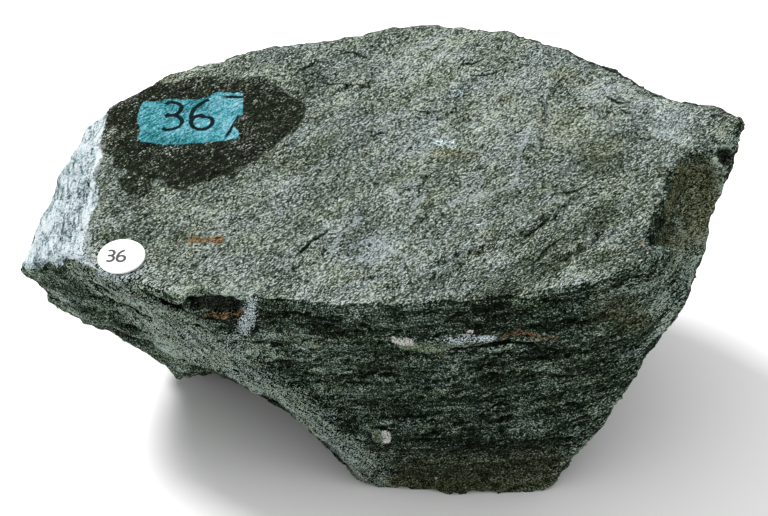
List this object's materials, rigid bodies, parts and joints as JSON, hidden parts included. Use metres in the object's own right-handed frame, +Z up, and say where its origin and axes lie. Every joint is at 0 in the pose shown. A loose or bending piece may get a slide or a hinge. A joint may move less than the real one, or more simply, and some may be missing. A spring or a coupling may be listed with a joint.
{
  "type": "chiastolite schist hand specimen",
  "caption": "Broken wedge-shaped block of grey-green layered rock with a flat cleavage face on top, a few fused crystals and a small round paper number label.",
  "frame": {"origin": "middle of the bounding box, on the flat spot that the block rests on", "axes": "+X along the length, towards the pointed right corner; +Y to the back; +Z up, out of the cleavage face"},
  "size_m": [0.123, 0.0758, 0.053],
  "materials": {
    "schist": "rough",
    "label_paper": "matt"
  },
  "bodies": {
    "root": {"schist_block": "schist", "number_label": "label_paper"}
  },
  "joints": []
}
